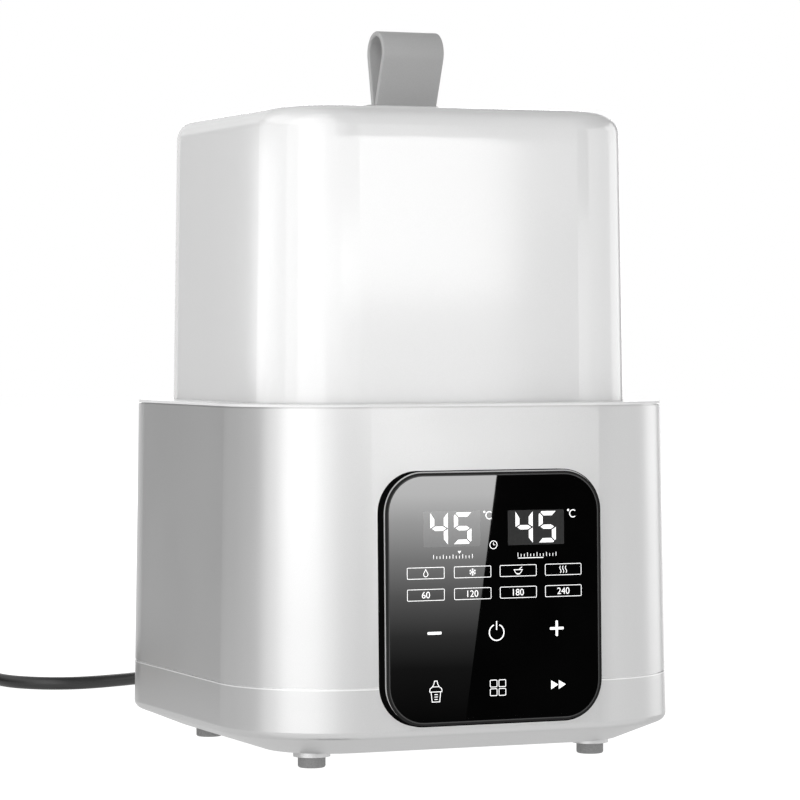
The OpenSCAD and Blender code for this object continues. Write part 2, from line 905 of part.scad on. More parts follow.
// The lead's two cores, from the strain relief to the terminal block
module mains_wires() {
    from = part_y + 1;
    color("saddlebrown")
        for (x = [-wire_x, wire_x])
            translate([lead_x + x, from, lead_z])
                rotate([-90, 0, 0])
                    cylinder(d = wire_d, h = rear_y - grommet_neck - from);
}

module case_screws() {
    color("silver")
        at_corners(screw_at)
            translate([0, 0, head_z])
                screw_up(screw_d, screw_len, screw_head_d, screw_head_h);
}

module foot(x, y) {
    color([0.35, 0.35, 0.36])
        translate([x * foot_x, y * foot_y, 0])
            rotate_extrude()
                difference() {
                    square([foot_d / 2, foot_h + foot_pocket]);
                    corner_waste([foot_d / 2, 0], [0, 0], [foot_d / 2, foot_h], 0.8);
                }
}

module foot_front_left() {
    foot(-1, -1);
}

module foot_front_right() {
    foot(1, -1);
}

module foot_rear_left() {
    foot(-1, 1);
}

module foot_rear_right() {
    foot(1, 1);
}

// Places a piece on the lead's line through the rear wall, with z pointing backwards
module on_rear() {
    translate([lead_x, rear_y, lead_z])
        rotate([-90, 0, 0])
            children();
}

// Ring that lines the hole in the rear wall
module cord_grommet() {
    color("dimgray")
        on_rear()
            difference() {
                union() {
                    cylinder(r = grommet_r, h = grommet_t);
                    translate([0, 0, -grommet_neck])
                        cylinder(r = grommet_hole_r, h = grommet_neck + tiny);
                }
                translate([0, 0, -grommet_neck - over])
                    cylinder(r = relief_root_r + fit_gap / 2, h = grommet_neck + grommet_t + 2 * over);
            }
}

// Tapered sleeve with flexing grooves, from inside the grommet to its tip
module strain_relief() {
    color([0.12, 0.12, 0.13])
        on_rear()
            difference() {
                union() {
                    translate([0, 0, -grommet_neck])
                        cylinder(r = relief_root_r, h = grommet_neck + grommet_t + tiny);
                    translate([0, 0, grommet_t])
                        cylinder(r1 = relief_root_r, r2 = relief_tip_r, h = relief_len);
                }
                for (z = [relief_groove_pitch : relief_groove_pitch : relief_len - relief_groove_pitch])
                    translate([0, 0, grommet_t + z])
                        difference() {
                            cylinder(r = relief_root_r + 1, h = relief_groove_w);
                            translate([0, 0, -over])
                                cylinder(r = relief_tip_r - 0.4, h = relief_groove_w + 2 * over);
                        }
            }
}

// Ring of a tube's points round one point of its path, with one side direction carried along
function ring(p, dir, side, r, n) =
    let (x = unit(side - dir * (side * dir)), y = cross(dir, x))
    [for (k = [0 : n - 1]) p + r * (cos(360 * k / n) * x + sin(360 * k / n) * y)];

// Round tube along a path that stays nearly level, as triangles
module tube(path, r, n) {
    rings = [
        for (i = [0 : len(path) - 1])
            let (dir = heading(path, i))
            each ring(path[i], dir, cross(dir, [0, 0, 1]), r, n)
    ];
    last = len(path) - 1;
    walls = [
        for (i = [0 : last - 1], k = [0 : n - 1])
            let (a = i * n + k, b = i * n + (k + 1) % n)
            each [[a, a + n, b], [b, a + n, b + n]]
    ];
    end = last * n;
    caps = [for (k = [1 : n - 2]) each [[0, k, k + 1], [end, end + k + 1, end + k]]];
    polyhedron(rings, concat(walls, caps));
}

module cord() {
    color([0.12, 0.12, 0.13])
        tube(lead_path, lead_d / 2, 8);
}

module cord_coil() {
    color([0.12, 0.12, 0.13])
        tube(coil_path, lead_d / 2, 6);
}

// Band round all turns of the coil at its far side
module cord_tie() {
    side = coil_point(0.25);
    mid_r = (coil_radius(0.25) + coil_radius(coil_turns - 0.25)) / 2;
    slack = [1.2, 0.2];
    inside = [2 * abs(coil_radius(0.25) - mid_r), coil_pitch] + [lead_d, lead_d] + slack;
    color("dimgray")
        translate([side.x + tie_w / 2, coil_centre.y + mid_r, coil_low + coil_pitch / 2])
            rotate([90, 0, -90])
                linear_extrude(tie_w)
                    difference() {
                        round_rect(inside + 2 * [tie_t, tie_t], lead_d / 2);
                        round_rect(inside, lead_d / 2 - tie_t);
                    }
}

// Places a piece at the coil's end, with z along the lead towards the plug
module on_plug() {
    translate(plug_start)
        rotate([90, 0, 0])
            children();
}

module plug_body() {
    grip_r = 18;
    grip_depth = 2;
    color([0.12, 0.12, 0.13])
        on_plug()
            difference() {
                union() {
                    cylinder(r1 = relief_tip_r, r2 = plug_h / 3, h = sleeve_len + tiny);
                    translate([0, 0, sleeve_len])
                        linear_extrude(plug_len)
                            round_rect([plug_w, plug_h], plug_h / 3);
                }
                for (x = [-1, 1])
                    translate([x * (plug_w / 2 + grip_r - grip_depth), 0, sleeve_len + plug_len / 3])
                        rotate([90, 0, 0])
                            cylinder(r = grip_r, h = plug_h + 2 * over, center = true);
            }
}

module plug_blades() {
    blade = [1.5, 6.35, 17];
    hole_d = 3.2;
    hole_in = 5;
    color("silver")
        on_plug()
            for (x = [-1, 1])
                translate([x * blade_pitch / 2 - blade.x / 2, -blade.y / 2, sleeve_len + plug_len])
                    difference() {
                        cube(blade);
                        translate([-over, blade.y / 2, blade.z - hole_in])
                            rotate([0, 90, 0])
                                cylinder(d = hole_d, h = blade.x + 2 * over);
                    }
}

// Filled outline of the cover with its top edge rounded, shrunk by a wall
module cover_profile(shrink, low, high, edge_r) {
    foot = [cover_corner_r - shrink - cover_draft * (low - deck_z), low];
    top = [cover_corner_r - shrink - cover_draft * (high - deck_z), high];
    down = unit(foot - top);
    reach = edge_r / tan(acos(-down.x) / 2);
    centre = [top.x - reach, high - edge_r];
    polygon([[0, low], foot, top + reach * down, centre, [centre.x, high], [0, high]]);
    translate(centre)
        circle(edge_r);
}

module cover() {
    inside_top = cover_top - cover_wall;
    slot = [strap_w + 1, 2 * strap_t + 2 * fit_gap];
    color([0.95, 0.95, 0.95, 0.6])
        difference() {
            round_block(cover_run, deck_z, cover_top)
                cover_profile(0, deck_z, cover_top, cover_edge_r);
            round_block(cover_run, deck_z - over, inside_top)
                cover_profile(cover_wall, deck_z - over, inside_top, cover_edge_r - cover_wall + 1);
            translate([strap_x, 0, inside_top - over])
                linear_extrude(cover_wall + 2 * over)
                    square(slot, center = true);
        }
}

// Point where a straight line from p touches a circle, on its right (side 1) or left (side -1)
function touch_point(p, centre, r, side) =
    let (d = p - centre, turn = atan2(d.y, d.x) + side * acos(r / norm(d)))
    centre + r * [cos(turn), sin(turn)];

// Teardrop outline of the strap's loop: a round top with straight sides down to the neck
module loop_outline(r, neck, top, low) {
    centre = [-strap_lean, top - r];
    foot = [neck, low];
    far_foot = [-neck, low];
    translate(centre)
        circle(r);
    polygon([
        foot, touch_point(foot, centre, r, 1), centre, touch_point(far_foot, centre, r, -1), far_foot
    ]);
}

// Soft band folded into a loop; both ends pass through the cover's slot and spread out under it
module lift_strap() {
    under = cover_top - cover_wall;
    top = cover_top + strap_h;
    neck_z = cover_top + 3;
    color([0.6, 0.6, 0.61])
        translate([strap_x - strap_w / 2, 0, 0])
            rotate([90, 0, 90])
                linear_extrude(strap_w) {
                    difference() {
                        loop_outline(strap_loop_r, strap_t, top, neck_z);
                        loop_outline(strap_loop_r - strap_t, tiny, top - strap_t, neck_z + 3);
                    }
                    translate([-strap_t, under - strap_t])
                        square([2 * strap_t, neck_z - under + strap_t + tiny]);
                    translate([-strap_t - strap_foot, under - strap_t])
                        square([2 * (strap_t + strap_foot), strap_t]);
                }
}

// Lift-out basket with two bays, slots in its floor and windows in its walls
module bottle_basket() {
    inner_r = basket_r - basket_wall;
    under = basket_floor_z - basket_wall;
    color("white") {
        difference() {
            round_block(cover_run, under, basket_top)
                polygon([[0, under], [basket_r, under], [basket_r, basket_top], [0, basket_top]]);
            round_block(cover_run, basket_floor_z, basket_top + over)
                polygon([
                    [0, basket_floor_z], [inner_r, basket_floor_z],
                    [inner_r, basket_top + over], [0, basket_top + over]
                ]);
            for (x = [-1, 1], i = [-2 : 2])
                translate([x * basket_rim_x / 2, i * basket_slot_pitch, under - over])
                    linear_extrude(basket_wall + 2 * over)
                        round_rect(basket_slot, basket_slot.y / 2 - tiny);
            for (x = [-1, 1])
                translate([x * basket_rim_x / 2, 0, basket_floor_z + basket_h / 2])
                    rotate([90, 0, 0])
                        linear_extrude(2 * basket_rim_y + 2 * over, center = true)
                            round_rect(basket_window, 6);
        }
        translate([-basket_wall / 2, -basket_rim_y + basket_wall / 2, basket_floor_z - tiny])
            cube([basket_wall, 2 * basket_rim_y - basket_wall, divider_h]);
        at_corners(basket_leg)
            translate([0, 0, well_floor_z])
                cylinder(d = basket_leg_d, h = basket_foot_h - basket_wall + tiny);
    }
}

body_shell();
bottom_cover();
tank();
heating_plate();
plate_seal();
plate_clamp();
clamp_screws();
heater_tube();
temperature_sensor();
thermal_cutout();
panel_bezel();
panel_glass();
display_board();
display_left();
display_right();
touch_pads();
buzzer();
display_screws();
power_board();
transformer();
relay();
filter_capacitor();
terminal_block();
power_screws();
display_cable();
mains_wires();
case_screws();
foot_front_left();
foot_front_right();
foot_rear_left();
foot_rear_right();
cord_grommet();
strain_relief();
cord();
cord_coil();
cord_tie();
plug_body();
plug_blades();
cover();
lift_strap();
bottle_basket();
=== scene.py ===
import math

import bmesh
import bpy
from mathutils import Matrix, Vector


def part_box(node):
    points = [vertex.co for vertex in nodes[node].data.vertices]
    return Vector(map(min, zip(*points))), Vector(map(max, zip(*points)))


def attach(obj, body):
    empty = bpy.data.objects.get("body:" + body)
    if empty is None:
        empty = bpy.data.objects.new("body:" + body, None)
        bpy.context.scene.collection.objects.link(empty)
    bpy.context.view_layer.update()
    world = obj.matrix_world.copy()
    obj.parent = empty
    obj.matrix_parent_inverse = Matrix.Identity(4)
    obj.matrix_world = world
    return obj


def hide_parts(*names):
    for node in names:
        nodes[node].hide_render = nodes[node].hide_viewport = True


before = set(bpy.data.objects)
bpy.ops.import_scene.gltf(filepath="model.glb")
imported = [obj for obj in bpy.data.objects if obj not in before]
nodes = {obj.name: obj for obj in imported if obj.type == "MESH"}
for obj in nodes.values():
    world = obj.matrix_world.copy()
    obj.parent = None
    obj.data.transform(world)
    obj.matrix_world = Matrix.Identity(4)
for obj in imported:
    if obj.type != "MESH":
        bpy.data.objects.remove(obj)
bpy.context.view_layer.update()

MM = 0.001
scene = bpy.context.scene


# Camera at the photograph's view

CAMERA_LENS, CAMERA_SENSOR = 158.357, 36
CAMERA_NEAR, CAMERA_FAR = 0.05, 60
CAMERA_AT = Vector((-0.51456, -1.23224, 0.15332))
# The camera's right, up and back
CAMERA_AXES = (
    Vector((0.92219, -0.38673, -0.00178)),
    Vector((0.00817, 0.01488, 0.99986)),
    Vector((-0.38664, -0.92207, 0.01689)),
)


def make_camera():
    data = bpy.data.cameras.new("camera")
    data.lens = CAMERA_LENS
    data.sensor_width = CAMERA_SENSOR
    data.clip_start = CAMERA_NEAR
    data.clip_end = CAMERA_FAR
    camera = bpy.data.objects.new("camera", data)
    scene.collection.objects.link(camera)
    turn = Matrix(CAMERA_AXES).transposed().to_4x4()
    camera.matrix_world = Matrix.Translation(CAMERA_AT) @ turn
    scene.camera = camera


make_camera()


# Node materials

# Most of a noise's values lie between these
NOISE_LOW, NOISE_HIGH = 0.3, 0.7


def noise(tree, place, scale, detail):
    texture = tree.nodes.new("ShaderNodeTexNoise")
    texture.inputs["Scale"].default_value = scale
    texture.inputs["Detail"].default_value = detail
    tree.links.new(place, texture.inputs["Vector"])
    return texture.outputs["Fac"]


def object_place(tree, stretch=(1, 1, 1)):
    place = tree.nodes.new("ShaderNodeTexCoord").outputs["Object"]
    if stretch == (1, 1, 1):
        return place
    mapping = tree.nodes.new("ShaderNodeMapping")
    mapping.inputs["Scale"].default_value = stretch
    tree.links.new(place, mapping.inputs["Vector"])
    return mapping.outputs["Vector"]


def ramp(tree, fac, stops):
    node = tree.nodes.new("ShaderNodeValToRGB")
    elements = node.color_ramp.elements
    while len(elements) < len(stops):
        elements.new(0.5)
    for element, (at, colour) in zip(elements, stops):
        element.position = at
        element.color = (*colour, 1)
    tree.links.new(fac, node.inputs["Fac"])
    return node.outputs["Color"]


def spread(tree, fac, low, high):
    node = tree.nodes.new("ShaderNodeMapRange")
    node.inputs["From Min"].default_value = NOISE_LOW
    node.inputs["From Max"].default_value = NOISE_HIGH
    node.inputs["To Min"].default_value = low
    node.inputs["To Max"].default_value = high
    tree.links.new(fac, node.inputs["Value"])
    return node.outputs["Result"]


def bump(tree, height, strength, depth, normal=None, invert=False):
    node = tree.nodes.new("ShaderNodeBump")
    node.invert = invert
    node.inputs["Strength"].default_value = strength
    node.inputs["Distance"].default_value = depth
    tree.links.new(height, node.inputs["Height"])
    if normal is not None:
        tree.links.new(normal, node.inputs["Normal"])
    return node.outputs["Normal"]


def grey(value):
    return (value, value, value)


def shaded(colour, factor):
    return tuple(min(1, c * factor) for c in colour)


def surface(
    name,
    colour,
    roughness,
    tone=0.05,
    gloss=0.05,
    grain=1800,
    grain_depth=0.00002,
    grain_strength=0.25,
    patch=40,
    stretch=(1, 1, 1),
    **sockets,
):
    """A finish with a fine grain, uneven gloss and a slight change of tone."""
    material = bpy.data.materials.new(name)
    material.use_nodes = True
    tree = material.node_tree
    shader = tree.nodes["Principled BSDF"]
    place = object_place(tree, stretch)
    fine = noise(tree, place, grain, 3)
    broad = noise(tree, place, patch, 4)
    stops = [(NOISE_LOW, shaded(colour, 1 - tone)), (NOISE_HIGH, shaded(colour, 1 + tone))]
    tree.links.new(ramp(tree, fine, stops), shader.inputs["Base Color"])
    rough = spread(tree, broad, roughness - gloss, roughness + gloss)
    tree.links.new(rough, shader.inputs["Roughness"])
    normal = bump(tree, fine, grain_strength, grain_depth)
    tree.links.new(normal, shader.inputs["Normal"])
    for socket, value in sockets.items():
        shader.inputs[socket.replace("_", " ")].default_value = value
    return material


def soft_shoulder(material, low, high, depth):
    """Bends a wall's shading inwards from height low upwards, as a soft blend into the rounded edge."""
    tree = material.node_tree
    shader = tree.nodes["Principled BSDF"]
    split = tree.nodes.new("ShaderNodeSeparateXYZ")
    tree.links.new(object_place(tree), split.inputs["Vector"])
    rise = tree.nodes.new("ShaderNodeMapRange")
    rise.clamp = False
    rise.inputs["From Min"].default_value = low
    rise.inputs["From Max"].default_value = high
    tree.links.new(split.outputs["Z"], rise.inputs["Value"])
    above = tree.nodes.new("ShaderNodeMath")
    above.operation = "MAXIMUM"
    above.inputs[1].default_value = 0
    tree.links.new(rise.outputs["Result"], above.inputs[0])
    square = tree.nodes.new("ShaderNodeMath")
    square.operation = "MULTIPLY"
    tree.links.new(above.outputs["Value"], square.inputs[0])
    tree.links.new(above.outputs["Value"], square.inputs[1])
    grain = shader.inputs["Normal"].links[0].from_socket
    bent = bump(tree, square.outputs["Value"], 1, depth, grain, invert=True)
    tree.links.new(bent, shader.inputs["Normal"])
    tree.links.new(bent, shader.inputs["Coat Normal"])


def glow(name, strength, stops=None):
    """Emission for a studio card, even or fading from the card's foot to its top."""
    material = bpy.data.materials.new(name)
    material.use_nodes = True
    tree = material.node_tree
    tree.nodes.clear()
    out = tree.nodes.new("ShaderNodeOutputMaterial")
    emission = tree.nodes.new("ShaderNodeEmission")
    emission.inputs["Strength"].default_value = strength
    tree.links.new(emission.outputs["Emission"], out.inputs["Surface"])
    if stops:
        place = tree.nodes.new("ShaderNodeTexCoord").outputs["Generated"]
        split = tree.nodes.new("ShaderNodeSeparateXYZ")
        tree.links.new(place, split.inputs["Vector"])
        tree.links.new(ramp(tree, split.outputs["Z"], stops), emission.inputs["Color"])
    return material


SILVER = surface(
    "silver_satin_paint", grey(0.65), 0.30, tone=0.035, gloss=0.02, grain=5200, grain_depth=0.000006,
    grain_strength=0.35, patch=25, Metallic=0.75, Coat_Weight=0.25, Coat_Roughness=0.22,
)
# Lighter copy of the silver paint for the seam's lip: a painted highlight
SEAM_PAINTED_HIGHLIGHT = surface(
    "seam_painted_highlight", grey(0.92), 0.30, tone=0.02, gloss=0.02, grain=5200, grain_depth=0.000006,
    Metallic=0.6, Coat_Weight=0.25, Coat_Roughness=0.22,
)
WHITE = surface("white_moulded_plastic", grey(0.83), 0.36, tone=0.02, grain=2600, grain_depth=0.00001)
FROSTED = surface(
    "frosted_milky_plastic", grey(0.84), 0.34, tone=0.012, gloss=0.03, grain=2400, grain_depth=0.000004,
    grain_strength=0.2, patch=18, Subsurface_Weight=0.5, Subsurface_Scale=0.004,
    Subsurface_Radius=(1, 1, 1), Coat_Weight=1.0, Coat_IOR=1.8, Coat_Roughness=0.08,
)
soft_shoulder(FROSTED, 0.2234, 0.2304, 0.00055)
FROSTED_TOP = surface(
    "frosted_matt_top", grey(0.86), 0.50, tone=0.015, gloss=0.04, grain=2400, grain_depth=0.000008,
    grain_strength=0.3, patch=18, Subsurface_Weight=0.5, Subsurface_Scale=0.004,
    Subsurface_Radius=(1, 1, 1), Specular_IOR_Level=0.05,
)
BASKET = surface("basket_plastic", grey(0.80), 0.40, tone=0.03, grain=2200)
STEEL = surface(
    "brushed_plate_steel", grey(0.62), 0.30, tone=0.10, gloss=0.08, grain=900, patch=60,
    stretch=(1, 14, 1), Metallic=1.0,
)
SCREW = surface("zinc_screw_steel", grey(0.58), 0.32, tone=0.08, gloss=0.08, Metallic=1.0)
TUBE = surface("heater_tube_steel", (0.42, 0.40, 0.38), 0.36, tone=0.15, gloss=0.1, patch=90, Metallic=1.0)
BRASS = surface("brass", (0.72, 0.52, 0.24), 0.28, tone=0.08, gloss=0.08, grain=900, Metallic=1.0)
RUBBER = surface(
    "grey_foot_rubber", grey(0.24), 0.62, tone=0.12, gloss=0.08, grain=2200, grain_depth=0.00004,
    grain_strength=0.5,
)
SEAL = surface("seal_silicone", (0.30, 0.31, 0.32), 0.55, tone=0.08, grain=1600)
BLACK = surface("black_moulded_plastic", grey(0.014), 0.42, tone=0.2, gloss=0.08, grain=2400)
# The bezel's sides: a darker black with no gloss than its front, as painted shade
BEZEL = surface(
    "bezel_black", grey(0.003), 0.45, tone=0.2, gloss=0.06, grain=3200, grain_depth=0.000003,
    Specular_IOR_Level=0.0,
)
BEZEL_FACE = surface(
    "bezel_satin_face", grey(0.014), 0.50, tone=0.15, gloss=0.06, grain=3200, grain_depth=0.000004,
    Specular_IOR_Level=0.1,
)
# Bright metallic grey for a line along the bezel's left and top only: a painted highlight
BEZEL_PAINTED_HIGHLIGHT = surface(
    "bezel_painted_highlight_finish", grey(0.42), 0.34, tone=0.05, gloss=0.04, grain=2400, grain_depth=0.000004,
    Metallic=0.3,
)
GLASS_EDGE = surface("glass_edge_grey", grey(0.03), 0.40, tone=0.1, gloss=0.05, grain=2600)
GLASS = surface(
    "black_panel_glass", grey(0.0015), 0.008, tone=0.2, gloss=0.004, grain=60, grain_depth=0.0000005,
    grain_strength=0.02, patch=30,
)
BOARD = surface("circuit_board", (0.02, 0.16, 0.06), 0.38, tone=0.25, grain=500, patch=120)
DISPLAY = surface("display_grey", grey(0.22), 0.45, tone=0.1)
YELLOW = surface("transformer_tape", (0.78, 0.55, 0.06), 0.42, tone=0.12)
RELAY = surface("relay_blue", (0.05, 0.16, 0.42), 0.40, tone=0.08)
TERMINAL = surface("terminal_green", (0.05, 0.34, 0.12), 0.42, tone=0.08)
WIRE = surface("wire_brown", (0.16, 0.07, 0.03), 0.40, tone=0.1)
CORD = surface(
    "black_cord_pvc", grey(0.022), 0.36, tone=0.15, gloss=0.06, grain=1500, grain_depth=0.00003,
    grain_strength=0.3,
)
TIE = surface("grey_tie", grey(0.16), 0.52, tone=0.1, grain=1400)
STRAP = surface(
    "grey_strap_silicone", grey(0.43), 0.52, tone=0.04, gloss=0.05, grain=2600, grain_depth=0.000015,
    grain_strength=0.35, patch=60, Subsurface_Weight=0.15, Subsurface_Scale=0.002,
    Subsurface_Radius=(1, 1, 1),
)
# White print that glows a little: painted light on the printed marks, the display's own light in the digits
PRINT_PAINTED_GLOW = surface(
    "white_print_painted_glow", grey(0.80), 0.10, tone=0.02, grain=2500, grain_depth=0.000001,
    Emission_Color=(1, 1, 1, 1), Emission_Strength=0.62,
)
WINDOW = surface(
    "smoked_display_window", grey(0.04), 0.012, tone=0.06, gloss=0.004, grain=900,
    grain_depth=0.0000005, grain_strength=0.02,
)

FINISHES = [
    (SILVER, "body_shell", "bottom_cover"),
    (WHITE, "tank"),
    (FROSTED, "cover"),
    (BASKET, "bottle_basket"),
    (STEEL, "heating_plate", "plate_clamp"),
    (SCREW, "clamp_screws", "display_screws", "power_screws", "case_screws"),
    (TUBE, "heater_tube"),
    (BRASS, "temperature_sensor", "plug_blades"),
    (RUBBER, "foot_front_left", "foot_front_right", "foot_rear_left", "foot_rear_right"),
    (SEAL, "plate_seal", "touch_pads"),
    (BLACK, "thermal_cutout", "buzzer", "cord_grommet"),
    (BEZEL, "panel_bezel"),
    (GLASS, "panel_glass"),
    (BOARD, "display_board", "power_board"),
    (DISPLAY, "display_left", "display_right", "display_cable"),
    (YELLOW, "transformer", "filter_capacitor"),
    (RELAY, "relay"),
    (TERMINAL, "terminal_block"),
    (WIRE, "mains_wires"),
    (CORD, "strain_relief", "plug_body"),
    (TIE, "cord_tie"),
]
for finish, *names in FINISHES:
    for name in names:
        nodes[name].data.materials.clear()
        nodes[name].data.materials.append(finish)


def finish_cover():
    """Matt flat top, glossy walls and edge."""
    mesh = nodes["cover"].data
    mesh.materials.append(FROSTED_TOP)
    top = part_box("cover")[1][2]
    for face in mesh.polygons:
        flat = face.normal.z > 0.999 and face.center.z > top - 0.1 * MM
        face.material_index = 1 if flat else 0


finish_cover()


def new_piece(name, mesh, material, body):
    piece = bpy.data.objects.new(name, mesh)
    scene.collection.objects.link(piece)
    mesh.materials.append(material)
    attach(piece, body)
    return piece


# Mains lead: the route, coil and end of part.scad in millimetres, and the diameter in metres

CORD_D = 5.6 * MM
LEAD_START = (35, 115.5486)
ROUTE = [
    (0, 0, 22), (0, 12, 21.6), (0, 26, 19), (0, 40, 14), (0, 54, 8.6), (0, 68, 4.6), (0, 82, 3.1),
    (0, 96, 2.85), (0, 110, 2.8), (-2, 124, 2.8), (-8, 137, 2.8), (-19, 146, 2.8), (-33, 150, 2.8),
    (-47, 147, 2.8), (-60, 141, 2.8), (-73, 136, 2.8), (-84, 134.5, 2.8), (-94, 137.5, 2.8),
    (-102, 144.5, 2.8), (-107.5, 154, 2.85), (-110.5, 165, 3.1), (-112, 176, 3.7), (-112, 187, 3.7),
]
COIL_R, COIL_PITCH, COIL_TURNS, COIL_LOW = 37.4, 6.3, 1.5, 3.7
COIL_TOTAL = 2 * COIL_TURNS + 0.5
# Points of the drawn path to each point of the route, and to each turn of the coil
ROUTE_STEPS, TURN_STEPS = 8, 24


def smooth_route(points, steps):
    path = []
    for i in range(len(points) - 1):
        a, b, c = points[max(i - 1, 0)], points[i], points[i + 1]
        d = points[min(i + 2, len(points) - 1)]
        for k in range(steps):
            t = k / steps
            path.append(b + t / 2 * (c - a + t * (2 * a - 5 * b + 4 * c - d + t * (3 * b - a - 3 * c + d))))
    return path + [points[-1]]


def coil_point(centre, t):
    radius = COIL_R - COIL_PITCH * min(t, COIL_TOTAL - t)
    rise = max(0, min(1, 2 * (t - COIL_TURNS)))
    angle = 2 * math.pi * t
    return Vector((
        centre.x + radius * math.cos(angle),
        centre.y + radius * math.sin(angle),
        COIL_LOW + COIL_PITCH * rise * rise * (3 - 2 * rise),
    ))


def cord_path():
    route = [Vector((LEAD_START[0] + x, LEAD_START[1] + y, z)) for x, y, z in ROUTE]
    lead = smooth_route(route, ROUTE_STEPS)
    lead_d = CORD_D / MM
    centre = lead[-1] + Vector((-COIL_R, lead_d, 0))
    coil = [coil_point(centre, i / TURN_STEPS) for i in range(round(COIL_TOTAL * TURN_STEPS) + 1)]
    plug_start = coil[-1] - Vector((0, lead_d, 0))
    return [p * MM for p in lead + coil + [plug_start]]


def make_cord():
    path = cord_path()
    data = bpy.data.curves.new("mains_cord", "CURVE")
    data.dimensions = "3D"
    data.bevel_depth = CORD_D / 2
    data.bevel_resolution = 6
    data.use_fill_caps = True
    spline = data.splines.new("POLY")
    spline.points.add(len(path) - 1)
    for point, at in zip(spline.points, path):
        point.co = (*at, 1)
    spline.use_smooth = True
    data.materials.append(CORD)
    piece = bpy.data.objects.new("mains_cord", data)
    scene.collection.objects.link(piece)
    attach(piece, "base")
    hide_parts("cord", "cord_coil")


make_cord()


# Lift strap: one silicone band folded into a loop, its two ends through the cover's slot

STRAP_X, STRAP_W, STRAP_T, STRAP_EDGE, STRAP_LEAN = 3.9, 25.0, 2.0, 0.7, 1.8
STRAP_TOP, STRAP_R, STRAP_NECK, STRAP_UNDER, STRAP_FOOT = 270.09, 8.2, 240.9, 234.9, 5.0
# Half the hair's breadth between the two legs
STRAP_PART = 0.02


def touch_point(p, centre, r, side):
    """Where a line from p touches a circle, on its right (side 1) or left (side -1)."""
    d = p - centre
    turn = math.atan2(d.y, d.x) + side * math.acos(r / d.length)
    return turn, centre + Vector((math.cos(turn), math.sin(turn))) * r


def strap_line():
    """Middle of the band in the Y-Z plane, from the rear foot over the loop to the front foot."""
    half = STRAP_T / 2
    leg_y = half + STRAP_PART
    round_r = STRAP_R - half
    centre = Vector((-STRAP_LEAN, STRAP_TOP - STRAP_R))
    low = STRAP_UNDER - half
    sides = []
    turns = []
    for side in (1, -1):
        neck = Vector((side * leg_y, STRAP_NECK))
        turn, touch = touch_point(neck, centre, round_r, side)
        stem = [
            Vector((side * y, z)) for y, z in (
                (STRAP_T + STRAP_FOOT, low), (STRAP_T + half, low), (leg_y + 0.5, low + 0.45),
                (leg_y, low + 1.8), (leg_y, STRAP_NECK - 3), (leg_y, STRAP_NECK - 0.8),
            )
        ]
        leg = [neck.lerp(touch, k / 10) for k in range(1, 10)]
        sides.append(stem + leg)
        turns.append(turn)
    start, end = turns[0], turns[1] + 2 * math.pi
    steps = 44
    crown = []
    for k in range(steps + 1):
        turn = start + (end - start) * k / steps
        crown.append(centre + Vector((math.cos(turn), math.sin(turn))) * round_r)
    return sides[0] + crown + sides[1][::-1]


def strap_section():
    """Rounded rectangle across the band: width along X, thickness along the band's normal."""
    half_w, half_t, r = STRAP_W / 2 - STRAP_EDGE, STRAP_T / 2 - STRAP_EDGE, STRAP_EDGE
    points = []
    for cx, cy, start in ((1, 1, 0), (-1, 1, 90), (-1, -1, 180), (1, -1, 270)):
        for k in range(6):
            a = math.radians(start + 18 * k)
            points.append((cx * half_w + r * math.cos(a), cy * half_t + r * math.sin(a)))
    return points


def make_strap():
    line, section = strap_line(), strap_section()
    mesh = bpy.data.meshes.new("silicone_strap")
    bm = bmesh.new()
    rings = []
    for i, p in enumerate(line):
        along = (line[min(i + 1, len(line) - 1)] - line[max(i - 1, 0)]).normalized()
        across = Vector((along.y, -along.x))
        ring = [
            bm.verts.new((STRAP_X * MM + x * MM, (p.x + across.x * t) * MM, (p.y + across.y * t) * MM))
            for x, t in section
        ]
        rings.append(ring)
    n = len(section)
    for a, b in zip(rings, rings[1:]):
        for k in range(n):
            bm.faces.new((a[k], a[(k + 1) % n], b[(k + 1) % n], b[k]))
    bm.faces.new(rings[0])
    bm.faces.new(reversed(rings[-1]))
    bmesh.ops.recalc_face_normals(bm, faces=bm.faces)
    for face in bm.faces:
        face.smooth = len(face.verts) == 4
    bm.to_mesh(mesh)
    bm.free()
    piece = new_piece("silicone_strap", mesh, STRAP, "cover")
    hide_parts("lift_strap")


make_strap()


# Panel prints: flat figures on the glass, in millimetres right and up the wall from its middle

PANEL_TILT = math.atan(0.0176)
PANEL_UP = Vector((0, math.sin(PANEL_TILT), math.cos(PANEL_TILT)))
PANEL_OUT = Vector((0, -math.cos(PANEL_TILT), math.sin(PANEL_TILT)))
PANEL_AT = Vector((0, -0.0862144, 0.0619))
GLASS_FACE = 5.2
# The black glass as the photograph shows it: left, bottom, right, top and corner
GLASS_SHOWN = (-40.5, -43.87, 41.12, 43.53)
GLASS_CORNER = 13.3
BEZEL_HALF = (42.5, 45.25)
BEZEL_CORNER = 15
PRINT_T = 0.03


def finish_bezel():
    """Satin front face, and sides in a darker black without gloss as painted shade."""
    mesh = nodes["panel_bezel"].data
    mesh.materials.append(BEZEL_FACE)
    for face in mesh.polygons:
        face.material_index = 1 if face.normal.dot(PANEL_OUT) > 0.97 else 0


finish_bezel()


def on_panel(x, y, z):
    return PANEL_AT + Vector((x * MM, 0, 0)) + PANEL_UP * (y * MM) + PANEL_OUT * (z * MM)


